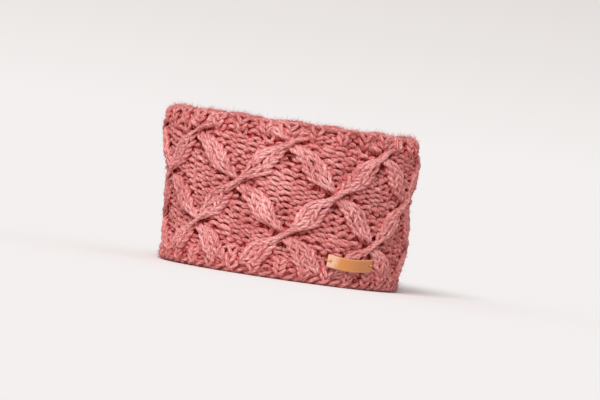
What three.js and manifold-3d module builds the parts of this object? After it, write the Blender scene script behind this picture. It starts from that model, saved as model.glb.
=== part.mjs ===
// A knitted headband in thick wool: a tube with a lattice of crossing cables, ribbed at both edges,
// and a small leather tag sewn on near the lower edge. Millimetres, +Z up. The band stands on its
// lower edge, the origin is in the middle of that edge, and its front faces -Y.
import * as THREE from "three";
import { mergeVertices } from "three/addons/utils/BufferGeometryUtils.js";
import Module from "manifold-3d";

const { smoothstep, lerp } = THREE.MathUtils;

// The band
const bandHeight = 120;
const groundThickness = 6.5; // from the inside of the band to the purl ground between the cables
const cableRise = 4; // how far a cable stands above that ground
const depthRatio = 1.08; // front to back against side to side

// How far the outside reaches to the left and right of the middle, seen from the front.
const outline = [
  { height: 0, left: 90.5, right: 97 },
  { height: 15, left: 91.8, right: 99.5 },
  { height: 37, left: 92.2, right: 101 },
  { height: 60, left: 96, right: 101.5 },
  { height: 74, left: 98.5, right: 101.5 },
  { height: 100, left: 101.5, right: 101.5 },
  { height: 113, left: 100.5, right: 98 },
  { height: 120, left: 99.5, right: 98.5 },
];

// The knitting: 64 stitches round in 8 repeats
const stitchesRound = 64;
const stitchesPerRepeat = 8;
const halfRepeat = stitchesPerRepeat / 2; // a cable moves over by this much from one crossing to the next
const stitchWidth = 9.4;
const crossingRise = 34.5; // from one row of crossings up to the next
const firstCrossing = 34.5; // height of the lowest row of crossings
const cableSway = 0.3; // stitches by which a cable leans over towards each crossing
const cableHalfWidth = 9;
const cableCrest = 3.5; // half width of a cable's rounded top
const cableDip = 0.75; // share of its rise that the lower cable loses at a crossing
const ribRise = 1.8;
const rollRise = 2.6; // the cast-off edge rolls out above the rib
const rollHeight = 115.5;
const rollHalfHeight = 5;

// Where the cables come out of the lower rib and go into the upper one
const lowerRib = { from: 8, to: 16 };
const upperRib = { from: 105, to: 112 };

// The mesh: two steps to a stitch, so that the rib keeps its ridges, and as many rows from one
// crossing to the next as there are steps, so that the cables run along the cells' diagonals
const stepsRound = 128;
const rowsPerCrossing = 8;
const rowsBelow = 6; // below the lowest crossings
const rowsAbove = 19; // above them
const innerRows = 3;
const edgeRound = 2.2; // height of the rounding at each edge
const edgeInset = 2.5; // how far the flat of an edge lies in from both faces

// The tag and the stitch at each of its ends
const gap = 0.3;
const tag = { from: 3.72, to: 8.02, height: 17.9, width: 9.7, thickness: 1.6, stations: 14 };
const tagSag = 1.8; // how far its middle hangs below its ends
const tagChamfer = 0.35;
const tagDip = 1.1; // the ends are drawn in by this much towards the wool
const holeInset = 0.3; // stitches from an end of the tag to its hole
const holeRadius = 1.1;
const threadRadius = 0.6;
const threadSides = 6;

const wallThickness = groundThickness + cableRise;
const ellipseSlip = (depthRatio ** 2 - 1) / (8 + 2 * (depthRatio ** 2 - 1));

const wool = new THREE.MeshStandardMaterial({ color: 0xc37371, roughness: 0.95, metalness: 0 });
const leather = new THREE.MeshStandardMaterial({ color: 0xd8915c, roughness: 0.5, metalness: 0 });
const thread = new THREE.MeshStandardMaterial({ color: 0xc99a4e, roughness: 0.7, metalness: 0 });

const outlineCurve = new THREE.CubicInterpolant(
  outline.map((row) => row.height),
  outline.flatMap((row) => [row.left, row.right]),
  2,
  new Float32Array(2),
);

// The oval at a height: its middle and its two half widths.
function ovalAt(height) {
  const [left, right] = outlineCurve.evaluate(THREE.MathUtils.clamp(height, 0, bandHeight));
  const halfWidth = (left + right) / 2;
  return { middle: (right - left) / 2, halfWidth, halfDepth: halfWidth * depthRatio };
}

// A point of the wall: stitches round from the front, height, and depth below the outline.
// The stitches are evenly spaced along the oval, and depth runs along its normal.
function wallPoint(stitch, height, depth) {
  const { middle, halfWidth, halfDepth } = ovalAt(height);
  const turn = (2 * Math.PI * stitch) / stitchesRound;
  const angle = turn + ellipseSlip * Math.sin(2 * turn);
  const outward = new THREE.Vector3(halfDepth * Math.sin(angle), -halfWidth * Math.cos(angle), 0);
  return new THREE.Vector3(middle + halfWidth * Math.sin(angle), -halfDepth * Math.cos(angle), height)
    .addScaledVector(outward.normalize(), -depth);
}

// A smooth ridge: 1 up to the crest, 0 from the foot outwards.
const ridge = (distance, crest, foot) => 1 - smoothstep(Math.abs(distance), crest, foot);

// Distance from the nearest cable that leans the given way: +1 climbs to the right, -1 to the left.
function cableDistance(stitch, level, lean) {
  const phase = 2 * Math.PI * level;
  const centre = lean * (halfRepeat * level + cableSway * Math.sin(phase));
  const run = (halfRepeat + 2 * Math.PI * cableSway * Math.cos(phase)) * stitchWidth;
  const away = THREE.MathUtils.euclideanModulo(stitch - centre + halfRepeat, stitchesPerRepeat) - halfRepeat;
  return away * stitchWidth * Math.sin(Math.atan2(crossingRise, run));
}

// How far the knitting stands above the purl ground. The cables that climb to the right pass over
// the others, which sink at every crossing.
function reliefAt(stitch, height) {
  const level = (height - firstCrossing) / crossingRise;
  const atCrossing = smoothstep(Math.cos(2 * Math.PI * level), -0.2, 1);
  const over = ridge(cableDistance(stitch, level, 1), cableCrest, cableHalfWidth);
  const under =
    ridge(cableDistance(stitch, level, -1), cableCrest, cableHalfWidth) * (1 - cableDip * atCrossing);
  const lattice =
    smoothstep(height, lowerRib.from, lowerRib.to) * (1 - smoothstep(height, upperRib.from, upperRib.to));
  const rib = ribRise * (0.5 + 0.5 * Math.cos(Math.PI * stitch));
  const roll = rollRise * ridge(height - rollHeight, 1, rollHalfHeight);
  return lattice * cableRise * Math.max(over, under) + (1 - lattice) * Math.max(rib, roll);
}

// The wall's section, once round from the inner lower edge: each point has a height and a depth,
// and those on the outside follow the relief.
function wallSection() {
  const low = edgeRound;
  const high = bandHeight - edgeRound;
  const inner = wallThickness;
  const section = [
    { height: low, depth: inner },
    { height: 0, depth: inner - edgeInset },
    { height: 0, depth: cableRise - ribRise + edgeInset },
  ];
  section.push({ height: low, relief: true });
  for (let row = -rowsBelow; row <= rowsAbove; row++) {
    section.push({ height: firstCrossing + (row * crossingRise) / rowsPerCrossing, relief: true });
  }
  section.push({ height: high, relief: true });
  section.push({ height: bandHeight, depth: cableRise - ribRise + edgeInset });
  section.push({ height: bandHeight, depth: inner - edgeInset });
  for (let i = 0; i < innerRows; i++) {
    section.push({ height: lerp(high, low, i / innerRows), depth: inner });
  }
  return section;
}

// A closed tube of rings, the last joined to the first. Each four-sided cell is cut along the
// diagonal that stands further out, so that a ridge isn't broken by the cut.
function ringSolid(rings) {
  const around = rings[0].length;
  const positions = rings.flat().flatMap((point) => point.toArray());
  const reach = rings.map((ring) => ring.map((point) => Math.hypot(point.x, point.y / depthRatio)));
  const index = [];
  rings.forEach((ring, row) => {
    const nextRow = (row + 1) % rings.length;
    for (let i = 0; i < around; i++) {
      const j = (i + 1) % around;
      const [a, b, c, d] = [row * around + i, row * around + j, nextRow * around + j, nextRow * around + i];
      if (reach[row][i] + reach[nextRow][j] > reach[row][j] + reach[nextRow][i]) {
        index.push(a, b, c, a, c, d);
      } else {
        index.push(a, b, d, b, c, d);
      }
    }
  });
  return new THREE.BufferGeometry()
    .setAttribute("position", new THREE.Float32BufferAttribute(positions, 3))
    .setIndex(index);
}

function bandGeometry() {
  const rings = wallSection().map(({ height, depth, relief }) =>
    Array.from({ length: stepsRound }, (_, i) => {
      const stitch = (i * stitchesRound) / stepsRound;
      return wallPoint(stitch, height, relief ? cableRise - reliefAt(stitch, height) : depth);
    }),
  );
  return ringSolid(rings);
}

// A place along the tag, from -1 at its left end to 1 at its right end.
const alongTag = (stitch) => (2 * stitch - tag.from - tag.to) / (tag.to - tag.from);

// Depth of the tag's inner face: it lies on the cable below its middle and is drawn in at its ends.
const tagSeat = (stitch) => -gap + tagDip * alongTag(stitch) ** 2;

const tagHeight = (stitch) => tag.height + tagSag * alongTag(stitch) ** 2;

// The tag: an eight-sided section carried along the band, with a cap at each end.
function tagSolid() {
  const half = tag.width / 2;
  const section = [
    { up: -half + tagChamfer, out: 0 },
    { up: -half, out: tagChamfer },
    { up: -half, out: tag.thickness - tagChamfer },
    { up: -half + tagChamfer, out: tag.thickness },
    { up: half - tagChamfer, out: tag.thickness },
    { up: half, out: tag.thickness - tagChamfer },
    { up: half, out: tagChamfer },
    { up: half - tagChamfer, out: 0 },
  ];
  const count = section.length;
  const positions = [];
  const index = [];
  for (let i = 0; i <= tag.stations; i++) {
    const stitch = lerp(tag.from, tag.to, i / tag.stations);
    for (const { up, out } of section) {
      positions.push(...wallPoint(stitch, tagHeight(stitch) + up, tagSeat(stitch) - out).toArray());
    }
  }
  for (let i = 0; i < tag.stations; i++) {
    for (let j = 0; j < count; j++) {
      const k = (j + 1) % count;
      const [a, b, c, d] = [i * count + j, (i + 1) * count + j, (i + 1) * count + k, i * count + k];
      index.push(a, b, c, a, c, d);
    }
  }
  const last = tag.stations * count;
  for (let j = 1; j < count - 1; j++) {
    index.push(0, j, j + 1);
    index.push(last, last + j + 1, last + j);
  }
  return new THREE.BufferGeometry()
    .setAttribute("position", new THREE.Float32BufferAttribute(positions, 3))
    .setIndex(index);
}

// A prism with equal sides carried along a curve.
function prismAlong(points, radius) {
  const shape = new THREE.Shape(
    Array.from({ length: threadSides }, (_, i) => {
      const angle = (2 * Math.PI * i) / threadSides;
      return new THREE.Vector2(radius * Math.cos(angle), radius * Math.sin(angle));
    }),
  );
  const path = new THREE.CatmullRomCurve3(points);
  return new THREE.ExtrudeGeometry(shape, { extrudePath: path, steps: 2 * (points.length - 1) });
}

const wasm = await Module();
wasm.setup();

function toSolid(geometry) {
  const bare = geometry.clone();
  bare.deleteAttribute("normal");
  bare.deleteAttribute("uv");
  const merged = mergeVertices(bare, 1e-4);
  return new wasm.Manifold(
    new wasm.Mesh({
      numProp: 3,
      vertProperties: merged.attributes.position.array,
      triVerts: new Uint32Array(merged.index.array),
    }),
  );
}

function toGeometry(solid) {
  const { vertProperties, triVerts } = solid.getMesh();
  return new THREE.BufferGeometry()
    .setAttribute("position", new THREE.BufferAttribute(vertProperties, 3))
    .setIndex(new THREE.BufferAttribute(triVerts, 1));
}

// A straight drill through the tag at a stitch.
function holeDrill(stitch) {
  const inside = wallPoint(stitch, tagHeight(stitch), tagSeat(stitch) + 2);
  const outside = wallPoint(stitch, tagHeight(stitch), tagSeat(stitch) - tag.thickness - 2);
  return prismAlong([inside, outside], holeRadius);
}

function tagGeometry() {
  let solid = toSolid(tagSolid());
  for (const stitch of [tag.from + holeInset, tag.to - holeInset]) {
    solid = solid.subtract(toSolid(holeDrill(stitch)));
  }
  return toGeometry(solid);
}

// The thread comes up through the hole, crosses to the end of the tag and goes down beside it.
function stitchGeometry(end, inward) {
  const hole = end + inward * holeInset;
  const outside = end - inward * (threadRadius + gap) / stitchWidth;
  const over = tag.thickness + gap + threadRadius;
  const at = (stitch, out) => wallPoint(stitch, tagHeight(end), tagSeat(end) - out);
  const points = [at(hole, 0), at(hole, over * 0.75), at(hole - inward * 0.07, over), at(outside + inward * 0.07, over)];
  points.push(at(outside, over * 0.75), at(outside, 0));
  return prismAlong(points, threadRadius);
}

const headband = new THREE.Group();

function addPiece(name, geometry, material) {
  const mesh = new THREE.Mesh(geometry, material);
  mesh.name = name;
  headband.add(mesh);
}

addPiece("band", bandGeometry(), wool);
addPiece("leather_tag", tagGeometry(), leather);
addPiece("tag_stitch_left", stitchGeometry(tag.from, 1), thread);
addPiece("tag_stitch_right", stitchGeometry(tag.to, -1), thread);

export default headband;
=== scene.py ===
from math import cos, hypot, pi, radians, sin, sqrt, tau
import bpy
import numpy as np
from mathutils import Matrix, Vector


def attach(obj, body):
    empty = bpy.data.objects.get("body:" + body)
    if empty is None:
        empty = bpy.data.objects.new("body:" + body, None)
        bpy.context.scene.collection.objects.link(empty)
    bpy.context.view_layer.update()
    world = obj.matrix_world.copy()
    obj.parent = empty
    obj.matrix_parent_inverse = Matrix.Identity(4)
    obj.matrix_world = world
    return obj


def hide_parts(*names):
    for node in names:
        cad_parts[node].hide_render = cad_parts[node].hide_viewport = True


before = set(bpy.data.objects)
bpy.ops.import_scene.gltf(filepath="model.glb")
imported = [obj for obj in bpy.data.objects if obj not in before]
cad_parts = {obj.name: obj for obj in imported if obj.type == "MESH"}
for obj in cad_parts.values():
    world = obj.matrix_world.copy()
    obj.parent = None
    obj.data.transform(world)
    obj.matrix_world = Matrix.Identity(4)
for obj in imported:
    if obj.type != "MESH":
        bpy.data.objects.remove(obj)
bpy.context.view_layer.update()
mm = 0.001
print("frame loaded")


# The band's form. Lengths are in millimetres unless a note says otherwise.
form = {
    "height": 120.0,
    "depthRatio": 1.08,  # front to back against side to side
    # height, and the outside's reach left and right of the middle, seen from the front
    "outline": np.array([
        (0, 90.5, 97), (15, 91.8, 99.5), (37, 92.2, 101), (60, 96, 101.5),
        (74, 98.5, 101.5), (100, 101.5, 101.5), (113, 100.5, 98), (120, 99.5, 98.5),
    ], float),
    "stitches": 64,
    "stitchWidth": 9.4,
    "rows": 21,
    "repeat": 8,  # stitches in one diamond
    "crossingRise": 34.5,
    "firstCrossing": 34.5,
    "sway": 0.3,  # stitches by which a cable leans over towards each crossing
    "latticeStart": (8, 16),  # heights over which the cables start, and over which they end
    "latticeEnd": (105, 112),
}
stitches = form["stitches"]
stitchWidth = form["stitchWidth"]
rowPitch = form["height"] / form["rows"]
halfRepeat = form["repeat"] / 2


def smooth(low, high, value):
    # 3x^2 - 2x^3, where x runs from 0 at low to 1 at high
    x = np.clip((value - low) / (high - low), 0, 1)
    return x * x * (3 - 2 * x)


def between(start, end, value):
    # rises from 0 to 1 over the pair start, and falls back to 0 over the pair end
    return smooth(*start, value) * (1 - smooth(*end, value))


def unit(vectors):
    # each vector divided by its length
    return vectors / np.linalg.norm(vectors, axis=-1, keepdims=True)


def outlineAt(height):
    # cubic Hermite through the table: each slope is the chord between the two neighbours
    table = form["outline"]
    z, reach = table[:, 0], table[:, 1:]
    inner = (reach[2:] - reach[:-2]) / (z[2:] - z[:-2])[:, None]
    first = (reach[1] - reach[0]) / (z[1] - z[0])
    last = (reach[-1] - reach[-2]) / (z[-1] - z[-2])
    slope = np.vstack([first, inner, last])
    height = np.clip(height, z[0], z[-1])
    k = np.clip(np.searchsorted(z, height, side="right") - 1, 0, len(z) - 2)
    span = (z[k + 1] - z[k])[..., None]
    x = (height - z[k])[..., None] / span
    return (
        (2 * x**3 - 3 * x**2 + 1) * reach[k] + (x**3 - 2 * x**2 + x) * span * slope[k]
        + (3 * x**2 - 2 * x**3) * reach[k + 1] + (x**3 - x**2) * span * slope[k + 1]
    )


def ovalAt(height):
    # the oval's middle at that height, half its width and half its depth
    reach = outlineAt(height)
    a = (reach[..., 1] + reach[..., 0]) / 2
    return (reach[..., 1] - reach[..., 0]) / 2, a, a * form["depthRatio"]


def onBand(stitch, height, rise):
    # the oval (middle + a sin, -b cos) at that height, moved by rise along its normal (b sin, -a cos);
    # the angle is turn + slip sin(2 turn), which spaces the stitches evenly round the oval
    squash = form["depthRatio"] ** 2 - 1
    turn = tau * stitch / stitches
    angle = turn + squash / (8 + 2 * squash) * np.sin(2 * turn)
    middle, a, b = ovalAt(height)
    normal = unit(np.stack([b * np.sin(angle), -a * np.cos(angle), 0 * a], -1))
    point = np.stack([middle + a * np.sin(angle), -b * np.cos(angle), height + 0 * a], -1)
    return (point + rise[..., None] * normal) * mm, normal


def crossingsUp(height):
    # how many crossings that height is above the first one
    return (height - form["firstCrossing"]) / form["crossingRise"]


def cableCentre(height, lean):
    # stitches from a crossing: lean (4 v + sway sin 2 pi v), where v counts the crossings upwards
    v = crossingsUp(height)
    return lean * (halfRepeat * v + form["sway"] * np.sin(tau * v))


def nearCrossing(height):
    # 1 at the height of a crossing, -1 half way between two
    return np.cos(tau * crossingsUp(height))


def fromCable(stitch, height, lean):
    # stitches to the nearest cable that leans that way, from -4 to 4
    return np.mod(stitch - cableCentre(height, lean) + halfRepeat, 2 * halfRepeat) - halfRepeat


def lattice(height):
    # 1 where the cables are, 0 in the ribbed borders
    return between(form["latticeStart"], form["latticeEnd"], height)


# Each cable draws the stitches beside it in at the crossings and lets them out between
pull = {
    "atCrossing": 0.24,
    "between": -0.14,
    "most": 0.9,
    "quickness": 1.2,  # how soon beside a cable it has its full value
}


def drawnIn(stitch, height):
    # stitch - share most tanh(quickness x) (1 - |x| / 4), where x is the distance from the cable
    near = ((1 + nearCrossing(height)) / 2) ** 2
    share = pull["between"] + (pull["atCrossing"] - pull["between"]) * near
    share = share * lattice(height) * pull["most"]
    moved = stitch
    for lean in (1, -1):
        x = fromCable(stitch, height, lean)
        moved = moved - share * np.tanh(pull["quickness"] * x) * (1 - abs(x) / halfRepeat)
    return moved


neck = {
    "over": (-0.35, 1.0),  # values of nearCrossing over which a cable narrows
    "squeeze": 0.56,
}


def atNeck(height):
    # 1 where the cables are narrowest, 0 where they have their full width
    return smooth(*neck["over"], nearCrossing(height)) * lattice(height)


hole = {
    "below": 11.6,  # of its middle, from the crossing
    "halfWidth": 2.5,
    "halfHeight": 3.4,
    "levels": 3,  # rows of crossings that have holes below them
    "depth": 4.2,
    "spread": 0.45,  # stitches by which the loops beside it are pushed apart
    "parting": 3.0,  # how sharply they part at its middle
    "thinning": 0.72,
}


def belowCrossing(stitch, height):
    # exp(-r^2) from the middle of the hole below each crossing, and the side of it that the stitch is
    # on, from -1 to 1
    level = crossingsUp(height + hole["below"])
    nearest = np.round(level)
    aside = np.mod(stitch - halfRepeat * nearest + halfRepeat, 2 * halfRepeat) - halfRepeat
    across = aside * stitchWidth / hole["halfWidth"]
    along = (level - nearest) * form["crossingRise"] / hole["halfHeight"]
    opening = np.exp(-(across**2) - along**2) * (nearest >= 0) * (nearest < hole["levels"])
    return opening, np.tanh(hole["parting"] * aside)


waves = {
    "count": 6,
    "periods": (3, 22),  # round the band, the second left out
    "climb": 0.16,  # radians a millimetre of height, at most
}


def ripple(stitch, height, seed):
    # a slow uneven wave: sines with whole periods round the band, over the root of their number
    rng = np.random.default_rng(seed)
    total = 0
    for _ in range(waves["count"]):
        periods = rng.integers(*waves["periods"])
        climb = rng.uniform(-waves["climb"], waves["climb"])
        phase = rng.uniform(0, tau)
        total += np.sin(tau * periods * stitch / stitches + climb * height + phase)
    return total / sqrt(waves["count"])


# Meshes

def addObject(name, data):
    made = bpy.data.objects.new(name, data)
    bpy.context.scene.collection.objects.link(made)
    return made


def buildMesh(name, vertices, corners, coordinates, material):
    # vertices: n x 3. corners: arrays of faces x corners. coordinates: the same shape with u, v
    mesh = bpy.data.meshes.new(name)
    mesh.vertices.add(len(vertices))
    mesh.vertices.foreach_set("co", np.ascontiguousarray(vertices, np.float32).ravel())
    flat = np.concatenate([c.ravel() for c in corners])
    mesh.loops.add(len(flat))
    mesh.loops.foreach_set("vertex_index", flat.astype(np.int32))
    sizes = np.concatenate([np.full(len(c), c.shape[1]) for c in corners])
    mesh.polygons.add(len(sizes))
    mesh.polygons.foreach_set("loop_start", (np.cumsum(sizes) - sizes).astype(np.int32))
    mesh.polygons.foreach_set("use_smooth", np.ones(len(sizes), bool))
    layer = mesh.uv_layers.new(name="yarnMap")
    places = np.concatenate([c.reshape(-1, 2) for c in coordinates])
    layer.uv.foreach_set("vector", places.astype(np.float32).ravel())
    mesh.update()
    mesh.validate()
    mesh.materials.append(material)
    return addObject(name, mesh)


def gridFaces(values):
    # the four values round each cell of grids x rows x columns: a row for each face
    cells = [values[:, :-1, :-1], values[:, 1:, :-1], values[:, 1:, 1:], values[:, :-1, 1:]]
    return np.stack(cells, 3).reshape((-1, 4) + values.shape[3:])


yarn = {
    "flattening": 0.1,  # two plies make its section this much longer than wide
    "pitch": 13.0,  # length for one turn of the plies
    "sides": 7,
}


def yarnFrames(centre, outward, closed):
    # at each point: the tangent, side = tangent x outward and lift = side x tangent
    if closed:
        tangent = unit(np.roll(centre, -1, 1) - np.roll(centre, 1, 1))
    else:
        tangent = unit(np.gradient(centre, axis=1))
    side = unit(np.cross(tangent, outward))
    return tangent, side, np.cross(side, tangent)


def yarnTubes(centre, outward, radius, sides, closed):
    # a ring round each point: centre + r (cos q side + sin q lift), with r = radius (1 + flattening
    # cos 2 (q - turn)), where turn grows by one circle in each pitch of length.
    # centre, outward: curves x points x 3. radius: curves x points
    curves, points = radius.shape
    _, side, lift = yarnFrames(centre, outward, closed)
    step = np.linalg.norm(np.roll(centre, -1, 1) - centre, axis=-1) / mm
    length = np.concatenate([np.zeros((curves, 1)), np.cumsum(step, 1)], 1)
    turns = 1 / yarn["pitch"]
    if closed:  # whole half turns, so that the section closes on itself
        whole = length[:, -1:]
        turns = np.round(2 * whole / yarn["pitch"]) / 2 / whole
    turn = tau * (length * turns)[:, :points, None]
    q = tau * np.arange(sides) / sides
    girth = (radius[:, :, None] * (1 + yarn["flattening"] * np.cos(2 * (q - turn))))[..., None] * mm
    ring = side[:, :, None] * np.cos(q)[:, None] + lift[:, :, None] * np.sin(q)[:, None]
    vertices = centre[:, :, None] + girth * ring
    c, i, j = np.meshgrid(*(np.arange(n) for n in (curves, points + closed, sides + 1)), indexing="ij")
    faces = [gridFaces((c * points + i % points) * sides + j % sides)]
    maps = [gridFaces(np.stack([length[c, i], j / sides], -1))]
    if not closed:
        c, j = np.meshgrid(np.arange(curves), np.arange(sides), indexing="ij")
        start = c * points * sides + j
        caps = np.concatenate([start, start[:, ::-1] + (points - 1) * sides])
        faces.append(caps)
        maps.append(np.zeros(caps.shape + (2,)))
    return vertices.reshape(-1, 3), faces, maps


# Materials

def toLinear(code):
    # sRGB hex to linear: ((c + 0.055) / 1.055) ^ 2.4, or c / 12.92 near black
    channels = [int(code[k:k + 2], 16) / 255 for k in (1, 3, 5)]
    return tuple(c / 12.92 if c <= 0.04045 else ((c + 0.055) / 1.055) ** 2.4 for c in channels) + (1,)


def addNode(tree, kind, inputs=None, **settings):
    # a node with its settings and inputs: an input is a value, a socket, or a node for its first output
    node = tree.nodes.new("ShaderNode" + kind)
    for key, value in settings.items():
        setattr(node, key, value)
    for key, value in (inputs or {}).items():
        if isinstance(value, bpy.types.Node):
            value = value.outputs[0]
        if isinstance(value, bpy.types.NodeSocket):
            tree.links.new(value, node.inputs[key])
        else:
            node.inputs[key].default_value = value
    return node


def addShader(tree, kind, inputs):
    # the material's shader, linked to its output
    addNode(tree, "OutputMaterial", {"Surface": addNode(tree, kind, inputs)})


def setStops(ramp, stops):
    # stops: a position and a hex colour each, in order
    elements = ramp.color_ramp.elements
    for k, (position, code) in enumerate(stops):
        stop = elements[k] if k < len(elements) else elements.new(position)
        stop.position = position
        stop.color = toLinear(code)


def newMaterial(name):
    material = bpy.data.materials.new(name)
    material.use_nodes = True
    tree = material.node_tree
    tree.nodes.clear()
    return material, tree


woolLook = {
    # painted shade, and painted light that has been through red wool: tints that multiply the yarn's colour,
    # from openness 0 deep down (darkest and reddest) to 1 on top
    "paintedShadeTints": (
        (0.0, "#AC3331"), (0.12, "#C54240"), (0.28, "#E8706D"), (0.4, "#E99C99"), (0.55, "#EDC2BF"),
        (0.78, "#F2E4E2"), (0.97, "#FFFFFF"),
    ),
    "streaks": ((0.55, "#B96361"), (0.74, "#DF908E"), (0.93, "#FFC8C6")),
    "fibres": ((0.35, "#C06663"), (0.65, "#F2AFAB")),
    "sheen": "#EE8F8B",
    "plies": 3,
    "plyPitch": 15.0,  # length of yarn for one turn of its plies
    "plyGrooveShade": 0.07,  # painted shade: how much darker it is between the plies
    "fibreLength": 4.5,
    "fibreWidth": 0.6,  # coarser than the real ones, so that it shows
    "yarnRadius": 1.7,  # for which the streaks' width is right
    "relief": 0.9,
    "plyRelief": 0.3,  # of the plies, against the streaks
    "dyePatch": 16.0,
    "dyeShare": 0.5,
    "fibrePatch": 1.4,  # over which the loose fibres change tone
}


def withPaintedShade(tree, colour):
    # painted shade: the colour multiplied by the tint for the vertex's openness
    openness = addNode(tree, "Attribute", attribute_name="openness")
    tint = addNode(tree, "ValToRGB", {0: openness.outputs["Fac"]})
    setStops(tint, woolLook["paintedShadeTints"])
    mixed = addNode(tree, "Mix", {0: 1.0, 6: colour, 7: tint}, data_type="RGBA", blend_type="MULTIPLY")
    return mixed.outputs[2]


def woolMaterial():
    # Loosely spun three-ply wool: matt, streaked along the yarn, with slightly uneven dye and a pale bloom;
    # painted shade makes it darker in the grooves between the plies, and darker and redder deep between the
    # loops
    look = woolLook
    material, tree = newMaterial("spunWool")
    uv = addNode(tree, "UVMap", uv_map="yarnMap")
    parts = addNode(tree, "SeparateXYZ", {0: uv})
    along, around = parts.outputs[0], parts.outputs[1]
    twist = addNode(tree, "Math", {0: along, 1: 1 / look["plyPitch"], 2: around}, operation="MULTIPLY_ADD")
    angle = addNode(tree, "Math", {0: twist, 1: tau}, operation="MULTIPLY")
    cosine = addNode(tree, "Math", {0: angle}, operation="COSINE")
    sine = addNode(tree, "Math", {0: angle}, operation="SINE")
    drawn = addNode(tree, "Math", {0: along, 1: 1 / look["fibreLength"]}, operation="MULTIPLY")
    # streaks: noise over the cosine and sine of the twisted angle and the length along the yarn
    place = addNode(tree, "CombineXYZ", {0: cosine, 1: sine, 2: drawn})
    streaks = addNode(tree, "TexNoise", {
        "Vector": place, "Scale": look["yarnRadius"] / look["fibreWidth"], "Detail": 3.0, "Roughness": 0.65,
    })
    ply = addNode(tree, "Math", {0: angle, 1: look["plies"]}, operation="MULTIPLY")
    plyWave = addNode(tree, "Math", {0: ply}, operation="COSINE")
    onPiece = addNode(tree, "TexCoord").outputs["Object"]
    fineness = 1 / (look["dyePatch"] * mm)
    dye = addNode(tree, "TexNoise", {"Vector": onPiece, "Scale": fineness, "Detail": 2.0})
    tone = addNode(tree, "Math", {0: dye, 1: look["dyeShare"], 2: streaks}, operation="MULTIPLY_ADD")
    # painted shade in the grooves between the plies, added to the tone
    grooveShaded = addNode(tree, "Math", {0: plyWave, 1: look["plyGrooveShade"], 2: tone}, operation="MULTIPLY_ADD")
    ramp = addNode(tree, "ValToRGB", {0: grooveShaded})
    setStops(ramp, look["streaks"])
    relief = addNode(tree, "Math", {0: plyWave, 1: look["plyRelief"], 2: streaks}, operation="MULTIPLY_ADD")
    bump = addNode(tree, "Bump", {"Height": relief, "Strength": 1.0, "Distance": look["relief"] * mm})
    # the base colour gets painted shade from the vertex's openness
    addShader(tree, "BsdfPrincipled", {
        "Base Color": withPaintedShade(tree, ramp), "Normal": bump, "Roughness": 0.9, "IOR": 1.54,
        "Specular IOR Level": 0.06, "Sheen Weight": 1.0, "Sheen Roughness": 0.5,
        "Sheen Tint": toLinear(look["sheen"]),
    })
    return material


def fibreMaterial():
    # Single wool fibres: a little glossier than the yarn, uneven in tone, with the same painted shade from
    # their openness
    material, tree = newMaterial("looseWoolFibre")
    onPiece = addNode(tree, "TexCoord").outputs["Object"]
    fineness = 1 / (woolLook["fibrePatch"] * mm)
    uneven = addNode(tree, "TexNoise", {"Vector": onPiece, "Scale": fineness, "Detail": 1.0})
    ramp = addNode(tree, "ValToRGB", {0: uneven})
    setStops(ramp, woolLook["fibres"])
    addShader(tree, "BsdfPrincipled", {
        "Base Color": withPaintedShade(tree, ramp), "Roughness": 0.7, "IOR": 1.54, "Specular IOR Level": 0.1,
    })
    return material


wool = woolMaterial()
fibre = fibreMaterial()
print("materials made")


# The knitted ground: one closed ring of yarn for each row, in loops that hook through the row below
ground = {
    "yarnRadius": 1.61,
    "loopHeight": 4.5,  # half its height: more than half a row, so that the loops interlock
    "loopLean": 1.8,  # how far a loop swells out above its foot
    "loopFlat": 0.08,  # how much its curve is flattened
    "loopDepth": 1.45,
    "headWider": 0.7,  # how much wider a loop's head is than its foot
    "headRise": 0.45,  # and how much further out
    "level": -6.8,  # middle of the fabric below the band's outline
    "lowerRibLevel": -5.4,
    "upperRibLevel": -4.4,
    "ribRise": 1.45,
    "ribRows": 3,
    "ribLean": 0.9,  # how much more the legs of its knit columns lean
    "kindChange": (0.36, 0.5),  # stitches from a loop's middle over which the next kind begins
    "coverEdge": (0.75, 1.35),  # stitches from a cable's middle over which its cover ends
    "underCable": 1.3,  # how far the ground is pressed in there
    "flatUnder": 0.35,  # and how much flatter it is
    "edgeRows": 14.0,  # the rows are crowded within this distance of an edge
    "edgeCrowding": 0.78,
    "sink": 2.2,  # rows sink by this much a stitch from one cable to the next on the right
    "sinkReturn": 0.5,  # stitches beside a cable's middle in which they come up again
    "sinkStart": (2, 36),  # heights over which this starts, and over which it ends
    "sinkEnd": (90, 118),
    "wave": 0.4,
    "slub": 0.05,  # share by which the yarn swells and thins
    "slubs": 3.7,  # and how often in a stitch
    # spread of the random differences from loop to loop; a share for the thickness, radians for the
    # slubs and stitches along the row
    "uneven": {"thickness": 0.13, "slubs": 1.8, "loop": 0.45, "height": 0.4, "lean": 0.2,
               "along": 0.09, "rise": 0.4},
    "clearOfFloor": 0.05,
    "steps": 18,
}
yarns = []  # for each kind: its centre lines, outward directions and radii, and whether it is closed


def yarnPiece(name, strands, closed):
    # a piece of one kind of yarn, which is kept for the loose fibres and the openness
    yarns.append((*strands, closed))
    return buildMesh(name, *yarnTubes(*strands, yarn["sides"], closed), wool)


def crowded(height):
    # rows near an edge are moved towards the middle, so that they stay inside the band
    low, high = ground["edgeRows"], form["height"] - ground["edgeRows"]
    past = np.maximum(height - high, 0) - np.maximum(low - height, 0)
    return height - (1 - ground["edgeCrowding"]) * past


def coverage(stitch, height):
    # 1 under a cable, 0 clear of it
    away = np.minimum(abs(fromCable(stitch, height, 1)), abs(fromCable(stitch, height, -1)))
    width = 1 - neck["squeeze"] * atNeck(height)
    return (1 - smooth(*ground["coverEdge"], away / width)) * lattice(height)


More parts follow.
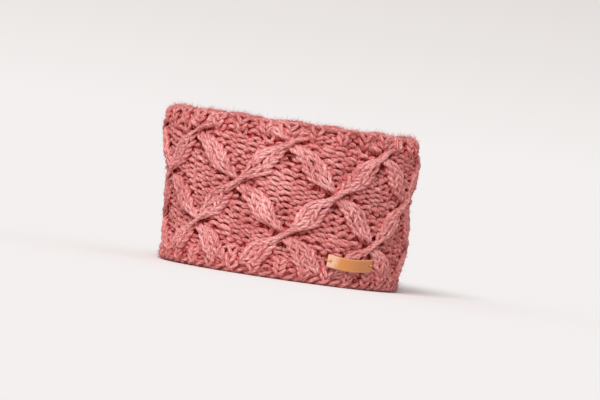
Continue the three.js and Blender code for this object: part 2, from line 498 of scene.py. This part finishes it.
def groundLevel(stitch, height):
    # the middle of the fabric below the outline: deeper under a cable and in the holes
    g = ground
    border = np.where(height > form["height"] / 2, g["upperRibLevel"], g["lowerRibLevel"])
    level = border + (g["level"] - border) * lattice(height)
    level -= g["underCable"] * coverage(stitch, height)
    return level - hole["depth"] * belowCrossing(stitch, height)[0]


def groundYarn():
    # a loop at each stitch: x = w t / 2 pi + lean sin 2t + wider sin t, y = h (cos t - flat cos 3t),
    # out = depth cos 2t + rise cos t, without wider and rise in the borders; a purl stitch has its
    # curves in front and its legs behind, a knit stitch the reverse
    g = ground
    count = stitches
    rows = np.arange(form["rows"])[:, None]
    t = tau * (np.arange(count * g["steps"])[None] / g["steps"] - count / 2) + 0 * rows
    rng = np.random.default_rng(11)
    column = np.floor(t / tau + 0.5).astype(int)
    phase = t / tau - column
    beside = column + np.where(phase > 0, 1, -1)

    def perLoop(what):
        # one random value a loop, blended from each loop's middle to the next
        values = g["uneven"][what] * rng.standard_normal((len(rows), count))
        return values[rows, column % count] * (1 - abs(phase)) + values[rows, beside % count] * abs(phase)

    thickness = 1 + perLoop("thickness") + g["slub"] * np.sin(g["slubs"] * t + perLoop("slubs"))
    inRib = (rows < g["ribRows"]) | (rows >= form["rows"] - g["ribRows"])
    kinds = np.where(inRib & (np.arange(count) % 2 == 0), -1.0, 1.0)
    mixing = 0.5 * smooth(*g["kindChange"], abs(phase))
    kind = kinds[rows, column % count] * (1 - mixing) + kinds[rows, beside % count] * mixing
    loop = np.cos(t) - g["loopFlat"] * np.cos(3 * t)
    height = (rows + 0.5) * rowPitch + (g["loopHeight"] + perLoop("loop")) * loop + perLoop("height")
    lean = g["loopLean"] + g["ribLean"] * (kind < 0) + perLoop("lean")
    along = lean * np.sin(2 * t) + g["headWider"] * np.where(inRib, 0, 1) * np.sin(t)
    stitch = t / tau + along / stitchWidth + perLoop("along")
    right = fromCable(stitch, height, -1)
    sunk = g["sink"] * (right - halfRepeat * np.tanh(right / g["sinkReturn"]))
    height -= sunk * between(g["sinkStart"], g["sinkEnd"], height)
    share = lattice(height)
    depth = g["loopDepth"] * (1 - g["flatUnder"] * coverage(stitch, height))
    rise = groundLevel(stitch, height) + depth * kind * np.cos(2 * t)
    rise += g["headRise"] * share * np.cos(t)
    rise -= g["ribRise"] * kind * (1 - share)
    rise = rise + perLoop("rise") + g["wave"] * ripple(stitch, height, 5)
    height = crowded(height + g["wave"] * ripple(stitch, height, 6))
    opening, sense = belowCrossing(stitch, height)
    radius = g["yarnRadius"] * thickness * (1 - hole["thinning"] * opening)
    height = np.maximum(height, radius * (1 + yarn["flattening"]) + g["clearOfFloor"])
    centre, outward = onBand(drawnIn(stitch, height) + hole["spread"] * opening * sense, height, rise)
    return centre, outward, radius


def makeGround():
    # three pieces, each with a third of the rows
    strands = groundYarn()
    yarns.append((*strands, True))
    thirds = zip(*(np.split(values, 3) for values in strands))
    return [
        buildMesh("ground_rows_" + part, *yarnTubes(*rows, yarn["sides"], True), wool)
        for part, rows in zip(("lower", "middle", "upper"), thirds)
    ]


groundPieces = makeGround()
print("knitted ground made")


# The web: fibres felted together between the loops, which close the ground's gaps; deep in them it is mostly
# seen as painted shade, dark red from its low openness
web = {
    "outside": -1.15,  # from the middle of the ground
    "inside": -1.5,
    "heights": (0.15, 117.2),
    "wave": 0.25,
    "waveFineness": 4,  # against the rows' own
    "around": 192,
    "up": 32,
    "mapStep": (0.7, 0.13),  # one face, as millimetres along a yarn and turns round it
}


def makeWeb():
    # a closed wall: two grids over stitch and height at level + outside and level + inside, joined
    # at their edges, with a fine uneven wave
    w = web
    around, up = w["around"], w["up"]
    climb = np.concatenate([np.linspace(*w["heights"], up), np.linspace(*w["heights"][::-1], up)])[:, None]
    offset = np.repeat([w["outside"], w["inside"]], up)[:, None]
    stitch = (stitches * np.arange(around) / around)[None] + 0 * climb
    height = climb + 0 * stitch
    rise = groundLevel(stitch, height) + offset + w["wave"] * ripple(w["waveFineness"] * stitch, height, 7)
    point, _ = onBand(drawnIn(stitch, height), height, rise)
    j, i = np.meshgrid(np.arange(around + 1), np.arange(2 * up + 1), indexing="ij")
    corners = gridFaces((i % (2 * up) * around + j % around)[None])
    places = gridFaces(np.stack([j, i], -1)[None] * np.array(w["mapStep"]))
    return buildMesh("felted_fibre_and_shade_web", point.reshape(-1, 3), [corners], [places], wool)


webPiece = makeWeb()
print("fibre web made")


# The cables: each row of a cable is a short length of yarn in two knit loops, side by side
cables = {
    "yarnRadius": 1.63,
    "loopHeight": 4.9,
    "loopLean": 2.5,
    "loopDepth": 1.1,
    "level": -3.2,
    "crown": 1.0,  # how far the middle stands above the sides, and how much more at the necks
    "neckCrown": 2.6,
    "overRise": 1.7,
    "underDip": 3.0,
    "dipFrom": 0.72,
    "underNeck": (0.55, 0.45),  # its narrowing at a crossing's middle, and how much more above it
    "neckThinning": 0.2,
    "neckFlat": 0.4,  # how much flatter the loops are at the necks
    "tilt": 2.6,  # how far a row of loops falls or climbs a stitch, square to the cable's lean
    "stretch": 1.7,  # how far the rows are drawn apart at a crossing
    "firstRow": 1,
    "lastRow": 19,
    "tail": 0.9,  # radians by which each end runs on behind the ground
    "tailDepth": 2.6,
    "deepest": -7.6,  # so that nothing shows on the inside
    "borderDip": 1.2,
    "sway": 0.04,  # stitches by which a row's two loops wander
    "wave": 0.3,
    "waves": 2.3,  # radians for each radian of the loop
    "slub": 0.06,
    "slubs": 3.1,
    # the same from row to row; stitches across, and radians for the sway, the waves and the slubs
    "uneven": {"lean": 0.25, "across": 0.05, "sway": 2.0, "loop": 0.35, "height": 0.45, "rise": 0.3,
               "waves": 2.0, "thickness": 0.07, "slubs": 2.0},
    "clearOfFloor": 0.4,
    "steps": 17,
}


def cableYarn(lean):
    # the same loop as the ground's, with its legs in front: y = h cos t and
    # x = centre(y) + (t - pi) / 2 pi + lean sin 2t / w, for t from -pi to 3 pi
    c = cables
    starts = np.arange(0, stitches, form["repeat"])[:, None, None]
    rows = np.arange(c["firstRow"], c["lastRow"] + 1)[None, :, None]
    steps = 2 * c["steps"] + 4  # the tails take the other four
    t = np.linspace(-pi - c["tail"], 3 * pi + c["tail"], steps)[None, None] + 0 * starts + 0 * rows
    rng = np.random.default_rng(21 + lean)

    def perRow(what):
        return c["uneven"][what] * rng.standard_normal((starts.shape[0], rows.shape[1], 1))

    level = (rows + 0.5) * rowPitch
    level += c["stretch"] * np.sin(tau * crossingsUp(level))
    swing = (c["loopLean"] + perRow("lean")) / stitchWidth
    across = (t - pi) / tau + swing * np.sin(2 * t)
    across = across + perRow("across") + c["sway"] * np.sin(t + perRow("sway"))
    height = level + (c["loopHeight"] + perRow("loop")) * np.cos(t) - lean * c["tilt"] * across
    height += perRow("height")
    narrow = atNeck(height)
    if lean > 0:
        rise = c["level"] + c["overRise"] * narrow
    else:
        middle, above = c["underNeck"]
        narrow *= middle + above * np.sin(tau * crossingsUp(height))
        rise = c["level"] - c["underDip"] * smooth(c["dipFrom"], 1, nearCrossing(height))
    stitch = starts + cableCentre(height, lean) + across * (1 - neck["squeeze"] * narrow)
    rise -= c["borderDip"] * (1 - lattice(height))
    rise -= (c["crown"] + c["neckCrown"] * narrow) * across**2
    rise -= c["loopDepth"] * (1 - c["neckFlat"] * narrow) * np.cos(2 * t)
    beyond = smooth(0, c["tail"], np.maximum(-pi - t, t - 3 * pi))
    rise = rise - c["tailDepth"] * beyond + perRow("rise")
    rise = np.maximum(rise + c["wave"] * np.sin(c["waves"] * t + perRow("waves")), c["deepest"])
    swell = 1 + perRow("thickness") + c["slub"] * np.sin(c["slubs"] * t + perRow("slubs"))
    radius = c["yarnRadius"] * (1 - c["neckThinning"] * narrow) * swell
    height = np.maximum(crowded(height), c["yarnRadius"] + c["clearOfFloor"])
    centre, outward = onBand(drawnIn(stitch, height), height, rise)
    size = (-1, t.shape[2])
    return centre.reshape(size + (3,)), outward.reshape(size + (3,)), radius.reshape(size)


cablePieces = [yarnPiece("cables_over", cableYarn(1), False), yarnPiece("cables_under", cableYarn(-1), False)]
print("cables made")


# The edges: a chain of loops where it is cast off, and a two-strand twist where it is cast on
edges = {
    "yarnRadius": 1.5,
    "chainHeight": 116.8,
    "chainLevel": -6.8,
    "chainLength": 7.2,  # half the length of a link
    "chainWidth": 2.0,
    "chainDepth": 0.9,
    "chainTilt": 1.3,  # radians by which the chain faces up
    "chainWave": 0.8,
    # the same from link to link: stitches along the edge, share of the width, height and rise
    "chainUneven": (0.06, 0.1, 0.6, 0.4),
    "chainSteps": 22,
    "castOnHeight": 3.3,
    "castOnLevel": -4.8,
    "castOnTwist": 1.5,
    "castOnWider": 1.6,  # its width against its height
    "castOnWave": 0.3,
    "castOnSteps": 10,
    "clearOfFloor": 0.02,
}


def chainYarn():
    # links along the edge: along = L cos t, across = W (sin t + sin 2t / 4), out = -depth cos 2t
    e = edges
    link = np.arange(stitches)[:, None]
    t = tau * np.arange(e["chainSteps"])[None] / e["chainSteps"] + 0 * link
    rng = np.random.default_rng(31)
    spread = np.array(e["chainUneven"])[:, None, None]
    aside, wider, higher, further = spread * rng.standard_normal((4, len(link), 1))
    stitch = link + 0.5 + (e["chainLength"] * np.cos(t)) / stitchWidth + aside
    across = e["chainWidth"] * (np.sin(t) + 0.25 * np.sin(2 * t)) * (1 + wider)
    out = -e["chainDepth"] * np.cos(2 * t)
    tilt = e["chainTilt"]
    height = e["chainHeight"] + across * cos(tilt) + out * sin(tilt) + higher
    rise = e["chainLevel"] - across * sin(tilt) + out * cos(tilt) + further
    centre, outward = onBand(stitch, height + e["chainWave"] * ripple(stitch, 0, 8), rise)
    outward = outward * cos(tilt) + np.array([0, 0, sin(tilt)])
    return centre, outward, e["yarnRadius"] + 0 * t


def castOnYarn():
    # two strands that turn about each other in two stitches: (out, up) = twist (wider cos, sin), with
    # a small wave up and down every 1.6 stitches
    e = edges
    steps = e["castOnSteps"] * stitches
    stitch = stitches * (np.arange(steps)[None] / steps - 0.5) + np.zeros((2, 1))
    turn = pi * stitch + pi * np.arange(2)[:, None]
    height = e["castOnHeight"] + e["castOnTwist"] * np.sin(turn)
    height += e["castOnWave"] * np.cos(5 * pi * stitch / 4)
    height = np.maximum(height, e["yarnRadius"] * (1 + yarn["flattening"]) + e["clearOfFloor"])
    rise = e["castOnLevel"] + e["castOnTwist"] * e["castOnWider"] * np.cos(turn)
    centre, outward = onBand(stitch, height, rise)
    return centre, outward, e["yarnRadius"] + 0 * turn


edgePieces = [yarnPiece("cast_off_chain", chainYarn(), True), yarnPiece("cast_on_edge", castOnYarn(), True)]
print("edges made")


# The bloom: loose fibres on the yarn, short straight ones and longer bent ones
bloom = {
    # count is for each of its two pieces; how steeply a fibre leaves the yarn is steepness x lift
    "short": {"count": 23500, "length": 2.3, "steepness": (0, 1.9), "lift": 1.0},
    "long": {"count": 9600, "length": 3.6, "steepness": (0.2, 2.2), "lift": 0.8},
    "curl": 0.5,
    "stray": 0.45,  # random part of a fibre's direction
    "lengthSpread": 0.4,
    "longest": 1.8,  # times the typical length
    "radius": 0.1,  # coarser than the real ones
    "taper": 0.8,  # of a long fibre half way along
    "root": 0.9,  # where it starts, in the yarn's radii
    "edgeShare": 7.0,  # fibres on the two edges, against elsewhere
    "edgeLength": 1.3,
    "clearOfFloor": 0.2,
}


def fibreRoots(rng, kind):
    # random places on the yarns, centre + r (cos q side + sin q lift), each with its fibre's direction,
    # unit(yarn + steep normal + stray), its length, typical x e^(spread x normal deviate), and a ring
    # of three points round it
    b = bloom
    onEdge = np.arange(len(yarns)) >= len(yarns) - len(edgePieces)  # the edges' yarns were made last
    share = np.array([radius.size for _, _, radius, _ in yarns]) * np.where(onEdge, b["edgeShare"], 1.0)
    counts = (kind["count"] * share / share.sum()).astype(int)
    found = []
    for (centre, outward, radius, closed), count, atEdge in zip(yarns, counts, onEdge):
        tangent, side, lift = yarnFrames(centre, outward, closed)
        c = rng.integers(0, radius.shape[0], count)
        i = rng.integers(2, radius.shape[1] - 2, count)
        q = rng.uniform(0, tau, count)[:, None]
        normal = np.cos(q) * side[c, i] + np.sin(q) * lift[c, i]
        start = centre[c, i] + b["root"] * mm * radius[c, i][:, None] * normal
        direction = tangent[c, i] * np.where(rng.random((count, 1)) < 0.5, -1, 1)
        length = np.full((count, 1), kind["length"] * (b["edgeLength"] if atEdge else 1))
        found.append((start, direction, normal, length))
    start, direction, normal, length = (np.concatenate(values) for values in zip(*found))
    times = np.minimum(np.exp(b["lengthSpread"] * rng.standard_normal(length.shape)), b["longest"])
    stray = rng.standard_normal(start.shape)
    steep = rng.uniform(*kind["steepness"], length.shape)
    direction = unit(direction + kind["lift"] * normal * steep + b["stray"] * stray)
    aside = unit(np.cross(direction, stray))
    above = np.cross(direction, aside)
    q = tau * np.arange(3)[:, None] / 3
    ring = (aside[:, None] * np.cos(q) + above[:, None] * np.sin(q)) * b["radius"] * mm
    return start, direction, length * times * mm, ring


def shortFibres(rng):
    # straight: a ring at the root and a point at root + length x direction
    start, direction, length, ring = fibreRoots(rng, bloom["short"])
    vertices = np.concatenate([start[:, None] + ring, (start + direction * length)[:, None]], 1)
    base = 4 * np.arange(len(start))[:, None, None]
    threes = base + np.array([[0, 1, 3], [1, 2, 3], [2, 0, 3], [2, 1, 0]])
    return vertices.reshape(-1, 3), threes.reshape(-1, 3)


def longFibres(rng):
    # bent half way along: a ring at the root, a smaller one in the middle and a point
    start, first, length, ring = fibreRoots(rng, bloom["long"])
    second = unit(first + bloom["curl"] * rng.standard_normal(start.shape))
    middle = start + first * length / 2
    end = middle + second * length / 2
    rings = [start[:, None] + ring, middle[:, None] + bloom["taper"] * ring]
    vertices = np.concatenate(rings + [end[:, None]], 1)
    base = 7 * np.arange(len(start))[:, None, None]
    quads = base + np.array([[0, 1, 4, 3], [1, 2, 5, 4], [2, 0, 3, 5]])
    threes = base + np.array([[3, 4, 6], [4, 5, 6], [5, 3, 6], [2, 1, 0]])
    return vertices.reshape(-1, 3), quads.reshape(-1, 4), threes.reshape(-1, 3)


def makeBloom(part, seed):
    rng = np.random.default_rng(seed)
    short, shortThrees = shortFibres(rng)
    long, quads, threes = longFibres(rng)
    points = np.concatenate([short, long])
    points[:, 2] = np.maximum(points[:, 2], bloom["clearOfFloor"] * mm)
    corners = [quads + len(short), np.concatenate([shortThrees, threes + len(short)])]
    blank = [np.zeros(c.shape + (2,)) for c in corners]
    return buildMesh("wool_bloom_" + part, points, corners, blank, fibre)


bloomPieces = [makeBloom("a", 41), makeBloom("b", 42)]
print("bloom made")


# Openness: at each vertex, the part of its surroundings that it sees past the yarns, by which the wool's
# colour gets painted shade
cavity = {
    "cell": 0.6,
    "margin": 12.0,  # beyond both edges
    "empty": {1: -9.0, -1: 4.0},  # level with no yarn, outside and inside
    "directions": 10,
    "distances": (0.9, 1.5, 2.1, 3.0, 4.2, 6.0, 8.4),
    "above": 0.65,  # painted shade under the loops: how much more what is above counts than what is beside, as the light comes from above
    "facing": {1: (-0.7, 0.1), -1: (0.0, 0.6)},  # normal . outward at which a face starts to count
    "rim": (114.5, 117.5),  # heights over which what faces up becomes open
    "rimFacing": (0.0, 0.7),  # and how far up it has to face
    "groundShadeFactor": 0.83,  # painted shade: the ground's openness is scaled by this, so it is painted a little darker than the cables
}


def placeOnBand(point):
    # the reverse of onBand near the outline: millimetres round, height, rise and normal
    x, y, height = (point[..., k] / mm for k in range(3))
    middle, a, b = ovalAt(height)
    x = x - middle
    angle = np.arctan2(x / a, -y / b)
    normal = np.stack([b * np.sin(angle), -a * np.cos(angle), 0 * a], -1)
    size = np.linalg.norm(normal, axis=-1, keepdims=True)
    rise = (np.hypot(x / a, y / b) - 1) * a * b / size[..., 0]
    return angle / tau * stitches * stitchWidth, height, rise, normal / size


def cellOf(around, height, shape):
    # the grid's cell that a place is in: round the band, then up
    i = np.round(around / cavity["cell"]).astype(int) % shape[0]
    j = np.round((height + cavity["margin"]) / cavity["cell"]).astype(int)
    return i, np.clip(j, 0, shape[1] - 1)


def levelAround(sense):
    # the yarns' outermost face in each cell (innermost for sense -1): rise + sqrt(r^2 - d^2) at the
    # distance d from a yarn's middle
    cell, empty = cavity["cell"], cavity["empty"][sense]
    shape = (round(stitches * stitchWidth / cell), int((form["height"] + 2 * cavity["margin"]) / cell))
    level = np.full(shape, empty)
    near = range(-2, 3)  # cells that a yarn covers on both sides of its middle
    for centre, _, radius, _ in yarns:
        around, height, rise, _ = placeOnBand(centre)
        for across in near:
            for up in near:
                distance = hypot(across, up) * cell
                cells = cellOf(around + across * cell, height + up * cell, shape)
                face = sense * rise + np.sqrt(np.maximum(radius**2 - distance**2, 0))
                np.maximum.at(level, cells, np.where(distance < radius, face, empty))
    return level


def seenFrom(around, height, depth, level):
    # the mean over the directions of 1 / (1 + h^2), the part of diffuse light that a level face gets
    # past a slope of h up to the highest yarn
    c = cavity
    total, weights = 0, 0
    for k in range(c["directions"]):
        angle = tau * (k + 0.5) / c["directions"]
        slope = np.zeros(len(around))
        for distance in c["distances"]:
            aside, higher = distance * cos(angle), distance * sin(angle)
            cells = cellOf(around + aside, height + higher, level.shape)
            slope = np.maximum(slope, (level[cells] - depth) / distance)
        weight = 1 + c["above"] * sin(angle)
        total += weight / (1 + slope**2)
        weights += weight
    return total / weights


levels = {sense: levelAround(sense) for sense in (1, -1)}


def vectorsOf(values, name):
    # one vector for each of a mesh's values
    flat = np.empty(3 * len(values), np.float32)
    values.foreach_get(name, flat)
    return flat.reshape(-1, 3)


def measureOpenness(pieces, most=1.0, facesCount=True):
    # most x the greatest of what a vertex sees outside and inside, where its face looks that way, and
    # of 1 for what faces up at the rim; a fibre's faces don't count. The materials paint shade into the
    # wool's colour by it
    for piece in pieces:
        around, height, rise, outward = placeOnBand(vectorsOf(piece.data.vertices, "co").astype(float))
        normal = vectorsOf(piece.data.vertex_normals, "vector")
        facing = (normal * outward).sum(1)
        upward = normal[:, 2] + (0 if facesCount else 1)
        openness = smooth(*cavity["rim"], height) * smooth(*cavity["rimFacing"], upward)
        for sense, level in levels.items():
            share = smooth(*cavity["facing"][sense], sense * facing) if facesCount else 1.0
            openness = np.maximum(openness, share * seenFrom(around, height, sense * rise, level))
        layer = piece.data.attributes.new("openness", "FLOAT", "POINT")
        layer.data.foreach_set("value", (most * openness).astype(np.float32))


# the ground, the web, the edges and the bloom get more painted shade than the cables
measureOpenness(groundPieces + [webPiece] + edgePieces, cavity["groundShadeFactor"])
measureOpenness(cablePieces)
measureOpenness(bloomPieces, cavity["groundShadeFactor"], facesCount=False)
for piece in groundPieces + [webPiece] + cablePieces + edgePieces + bloomPieces:
    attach(piece, "root")
    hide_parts("band")
print("openness measured")


# The tag: a strip of leather with rounded edges, and a thread over each end
tag = {
    "from": 3.72,  # stitches from the front
    "to": 8.02,
    "height": 17.9,
    "sag": 1.8,  # the middle hangs below the ends
    "width": 9.7,
    "thickness": 1.6,
    "clear": 0.3,  # above the cable below its middle
    "drawnIn": 1.1,  # how far its ends are drawn in
    "edgeRadius": 0.75,
    "cornerRadius": 0.9,
    "holeInset": 0.3,  # stitches from each end
    "holeRadius": 0.75,
    "holeDepth": 1.15,
    "crease": 0.09,
    "creaseWaves": (2.1, 0.8, 1.1, -0.5),  # radians a millimetre along and across, of two waves
    "creaseBend": (1.3, 0.9),  # radians by which the first one bends, and how fast across
    "worn": (6, 16),  # distances from its left end over which they fade
    "along": 110,
    "across": 34,
}
tagLook = {
    # colour along the tag from its left end: paler towards the left
    "toneAlong": ((0.26, "#DEAE90"), (0.41, "#CB8447"), (0.85, "#BC7644")),
    "rim": "#E0AC74",
    "rimWidth": (0.34, 0.5),  # shares of the width from its middle over which the rim begins
    "rimShare": 0.4,
    "grain": 0.45,
    "grainRelief": 0.08,
    "cloud": 3.85,  # size of the patches in its colour
    "cloudShare": 0.3,
}
thread = {
    "colour": "#DDB268",
    "shade": "#A87A38",  # in the grooves of its twist
    "radius": 0.5,
    "clear": 0.1,  # of the tag's end and of its front
    "roundness": 0.35,  # the lower, the squarer its bend
    "sink": 3.4,
    "run": (0.02, 0.98),  # t at both its ends
    "steps": 40,
    "sides": 10,
}


def leatherMaterial():
    # Vegetable-tanned leather: satin, fine grained, golden tan, paler at its burnished rims and towards
    # its left end
    look = tagLook
    material, tree = newMaterial("vegetableTannedLeather")
    uv = addNode(tree, "UVMap", uv_map="yarnMap")
    parts = addNode(tree, "SeparateXYZ", {0: uv})
    onPiece = addNode(tree, "TexCoord").outputs["Object"]
    fineness = 1 / (look["cloud"] * mm)
    cloud = addNode(tree, "TexNoise", {"Vector": onPiece, "Scale": fineness, "Detail": 4.0, "Roughness": 0.6})
    place = addNode(tree, "Math", {0: cloud, 1: look["cloudShare"], 2: parts}, operation="MULTIPLY_ADD")
    ramp = addNode(tree, "ValToRGB", {0: place})
    setStops(ramp, look["toneAlong"])
    centred = addNode(tree, "Math", {0: parts.outputs[1], 1: 0.5}, operation="SUBTRACT")
    aside = addNode(tree, "Math", {0: centred}, operation="ABSOLUTE")
    low, high = look["rimWidth"]
    rim = addNode(tree, "MapRange", {
        "Value": aside, "From Min": low, "From Max": high, "To Max": look["rimShare"],
    }, interpolation_type="SMOOTHSTEP")
    colour = addNode(tree, "Mix", {0: rim, 6: ramp, 7: toLinear(look["rim"])}, data_type="RGBA")
    fineness = 1 / (look["grain"] * mm)
    pores = addNode(tree, "TexVoronoi", {"Vector": onPiece, "Scale": fineness}, feature="DISTANCE_TO_EDGE")
    bump = addNode(tree, "Bump", {"Height": pores, "Strength": 0.35, "Distance": look["grainRelief"] * mm})
    addShader(tree, "BsdfPrincipled", {
        "Base Color": colour.outputs[2], "Normal": bump,
        "Roughness": 0.48, "IOR": 1.5, "Specular IOR Level": 0.45,
    })
    return material


def threadMaterial():
    # Twisted polyester sewing thread: ochre, slightly glossy, streaked along its twist
    material, tree = newMaterial("twistedThread")
    uv = addNode(tree, "UVMap", uv_map="yarnMap")
    twist = {"Vector": uv, "Scale": 1.1, "Distortion": 1.5}
    wave = addNode(tree, "TexWave", twist, bands_direction="DIAGONAL")
    ramp = addNode(tree, "ValToRGB", {0: wave})
    setStops(ramp, ((0.0, thread["shade"]), (1.0, thread["colour"])))
    addShader(tree, "BsdfPrincipled", {"Base Color": ramp, "Roughness": 0.45, "IOR": 1.55})
    return material


def tagPlace(stitch):
    # height of the tag's middle and rise of its back, with the square of the place along, -1 to 1
    along = (2 * stitch - tag["from"] - tag["to"]) / (tag["to"] - tag["from"])
    return tag["height"] + tag["sag"] * along**2, tag["clear"] - tag["drawnIn"] * along**2


def tagSurfaces():
    # front and back over s along and h across: middle +- half the thickness x sqrt(1 - (1 - d / r)^2),
    # where d is the distance to the edge, less a dimple exp(-(distance / radius)^4) at each hole, with
    # creases at the left end; and s and h as shares of the length and the width
    g = tag
    length = (g["to"] - g["from"]) * stitchWidth
    s = (length / 2 * (1 + np.sin(pi / 2 * np.linspace(-1, 1, g["along"]))))[:, None]
    b = np.sin(pi / 2 * np.linspace(-1, 1, g["across"]))[None]
    toEnd = np.minimum(s, length - s)
    end = np.minimum(toEnd, g["cornerRadius"])
    corner = g["cornerRadius"] - np.sqrt(g["cornerRadius"] ** 2 - (g["cornerRadius"] - end) ** 2)
    half = g["width"] / 2 - corner
    h = half * b
    edge = np.minimum(toEnd, half - abs(h))
    swell = np.sqrt(1 - (1 - np.minimum(edge / g["edgeRadius"], 1)) ** 2) * g["thickness"] / 2
    stitch = g["from"] + s / stitchWidth + 0 * h
    level, seat = tagPlace(stitch)
    dimple = 0
    for inset in (g["holeInset"] * stitchWidth, length - g["holeInset"] * stitchWidth):
        away = ((s - inset) ** 2 + h**2) ** 0.5 / g["holeRadius"]
        dimple += g["holeDepth"] * np.exp(-(away**4))
    along, across, secondAlong, secondAcross = g["creaseWaves"]
    bend, fast = g["creaseBend"]
    crease = g["crease"] * (1 - smooth(*g["worn"], s))
    crease = crease * np.sin(along * s + across * h + bend * np.sin(fast * h))
    crease *= np.sin(secondAlong * s + secondAcross * h)
    middle = seat + g["thickness"] / 2
    front, _ = onBand(stitch, level + h, middle + swell - dimple + crease * (swell > 0))
    back, _ = onBand(stitch, level + h, middle - swell)
    return front, back, np.stack([s / length + 0 * h, b / 2 + 0.5 + 0 * s], -1)


def makeTag():
    # the front and the back share the vertices along the border
    front, back, place = tagSurfaces()
    n, m = tag["along"], tag["across"]
    i, j = np.meshgrid(np.arange(n), np.arange(m), indexing="ij")
    border = (i == 0) | (j == 0) | (i == n - 1) | (j == m - 1)
    top = i * m + j
    under = np.where(border, top, n * m + np.cumsum(~border).reshape(n, m) - 1)
    vertices = np.concatenate([front.reshape(-1, 3), back[~border]])
    faces = [gridFaces(top[None]), gridFaces(under[None])[:, ::-1]]
    flat = gridFaces(place[None])
    return buildMesh("tag", vertices, faces, [flat, flat[:, ::-1]], leatherMaterial())


def makeThread(name, end, inward, material):
    # from the hole over the tag's end and down into the wool: out = over (sin pi t)^roundness, with
    # the last part drawn down by sink t^6
    d = thread
    t = np.linspace(*d["run"], d["steps"])[None]
    start = end + inward * tag["holeInset"]
    outside = end - inward * (d["radius"] + d["clear"]) / stitchWidth
    stitch = start + (outside - start) * (1 - np.cos(pi * t)) / 2
    level, seat = tagPlace(end)
    over = tag["thickness"] + d["radius"] + d["clear"]
    rise = seat + over * np.sin(pi * t) ** d["roundness"] - d["sink"] * t**6
    centre, _ = onBand(stitch, level + 0 * t, rise)
    upward = np.array([0, 0, 1]) + 0 * centre
    return buildMesh(name, *yarnTubes(centre, upward, d["radius"] + 0 * t, d["sides"], False), material)


tagPiece = makeTag()
threadMade = threadMaterial()
sewn = [
    (tagPiece, "leather_tag", "tag_leather"),
    (makeThread("thread_left", tag["from"], 1, threadMade), "tag_stitch_left", "tag_thread"),
    (makeThread("thread_right", tag["to"], -1, threadMade), "tag_stitch_right", "tag_thread"),
]
for piece, node, slot in sewn:
    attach(piece, "root")
    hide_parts(node)
print("tag made")


# Stage, light and camera
stageLook = {
    # the studio behind, by the sine of the elevation: pale at the horizon, dimmer overhead
    "studio": ((0.0, "#F3F0EF"), (0.045, "#E1DBD8"), (0.4, "#BBB7B6")),
    "keyFrom": (-0.24, -0.9, 0.85),
    "keyStrength": 2.85,
    "keyAngle": 32,
    "floorReach": 40.0,  # metres
}
view = {
    "distance": 3.5,  # metres
    "farthest": 200.0,  # metres
    "elevation": 0.9,
    "roll": 8.3,
    "frameWidth": 466.0,  # of the picture, at the band's middle
    "sensor": 36.0,
    "pixels": (600, 400),
    "middleAt": (284.2, 198.0),  # of the band's middle, in pixels from the top left
}


def floorColour():
    # as bright as the horizon, so that no line shows between them: albedo = horizon / (2 x the
    # integral of studio z dz + key strength x sine of its elevation / pi)
    steps = 2000
    z = np.linspace(0, 1, steps + 1)
    stops = [stop for stop, _ in stageLook["studio"]]
    colours = np.array([toLinear(code)[:3] for _, code in stageLook["studio"]])
    sky = np.stack([np.interp(z, stops, colours[:, k]) for k in range(3)], 1) * z[:, None]
    fromSky = (sky[1:] + sky[:-1]).sum(0) / steps
    fromKey = stageLook["keyStrength"] * Vector(stageLook["keyFrom"]).normalized().z / pi
    return tuple(colours[0] / (fromSky + fromKey)) + (1,)


def makeStage():
    # Matt paper that runs to the horizon and meets the studio there
    mesh = bpy.data.meshes.new("floor")
    far = stageLook["floorReach"]
    mesh.from_pydata([(-far, -far, 0), (far, -far, 0), (far, far, 0), (-far, far, 0)], [], [(0, 1, 2, 3)])
    material, tree = newMaterial("mattPaperFloor")
    addShader(tree, "BsdfDiffuse", {"Color": floorColour()})
    mesh.materials.append(material)
    floor = addObject("floor", mesh)

    world = bpy.data.worlds.new("studio")
    bpy.context.scene.world = world
    world.use_nodes = True
    tree = world.node_tree
    parts = addNode(tree, "SeparateXYZ", {0: addNode(tree, "TexCoord")})
    ramp = addNode(tree, "ValToRGB", {0: parts.outputs[2]})
    setStops(ramp, stageLook["studio"])
    tree.links.new(ramp.outputs[0], tree.nodes["Background"].inputs["Color"])

    light = bpy.data.lights.new("keyLight", "SUN")
    light.energy = stageLook["keyStrength"]
    light.angle = radians(stageLook["keyAngle"])
    lamp = addObject("keyLight", light)
    lamp.rotation_euler = Vector(stageLook["keyFrom"]).to_track_quat("Z", "Y").to_euler()


def makeCamera():
    # at the photo's angle and roll, and aside so that the band's middle is where the photo has it
    data = bpy.data.cameras.new("camera")
    camera = addObject("camera", data)
    data.sensor_width = view["sensor"]
    data.lens = view["sensor"] * view["distance"] / (view["frameWidth"] * mm)
    data.clip_end = view["farthest"]
    tilt = radians(view["elevation"])
    middle = Vector((0, 0, form["height"] / 2 * mm))
    back = Vector((0, -cos(tilt), sin(tilt)))
    turned = Matrix.Rotation(radians(view["roll"]), 3, back)
    side = turned @ Vector((1, 0, 0))
    up = turned @ back.cross(Vector((1, 0, 0)))
    wide, high = view["pixels"]
    perPixel = view["frameWidth"] * mm / wide
    across, down = view["middleAt"]
    centred = middle + side * (wide / 2 - across) * perPixel + up * (down - high / 2) * perPixel
    camera.matrix_world = Matrix((side, up, back)).transposed().to_4x4()
    camera.location = centred + back * view["distance"]
    bpy.context.scene.camera = camera


makeStage()
makeCamera()
bpy.context.scene.view_settings.view_transform = "Standard"
print("stage, light and camera set")
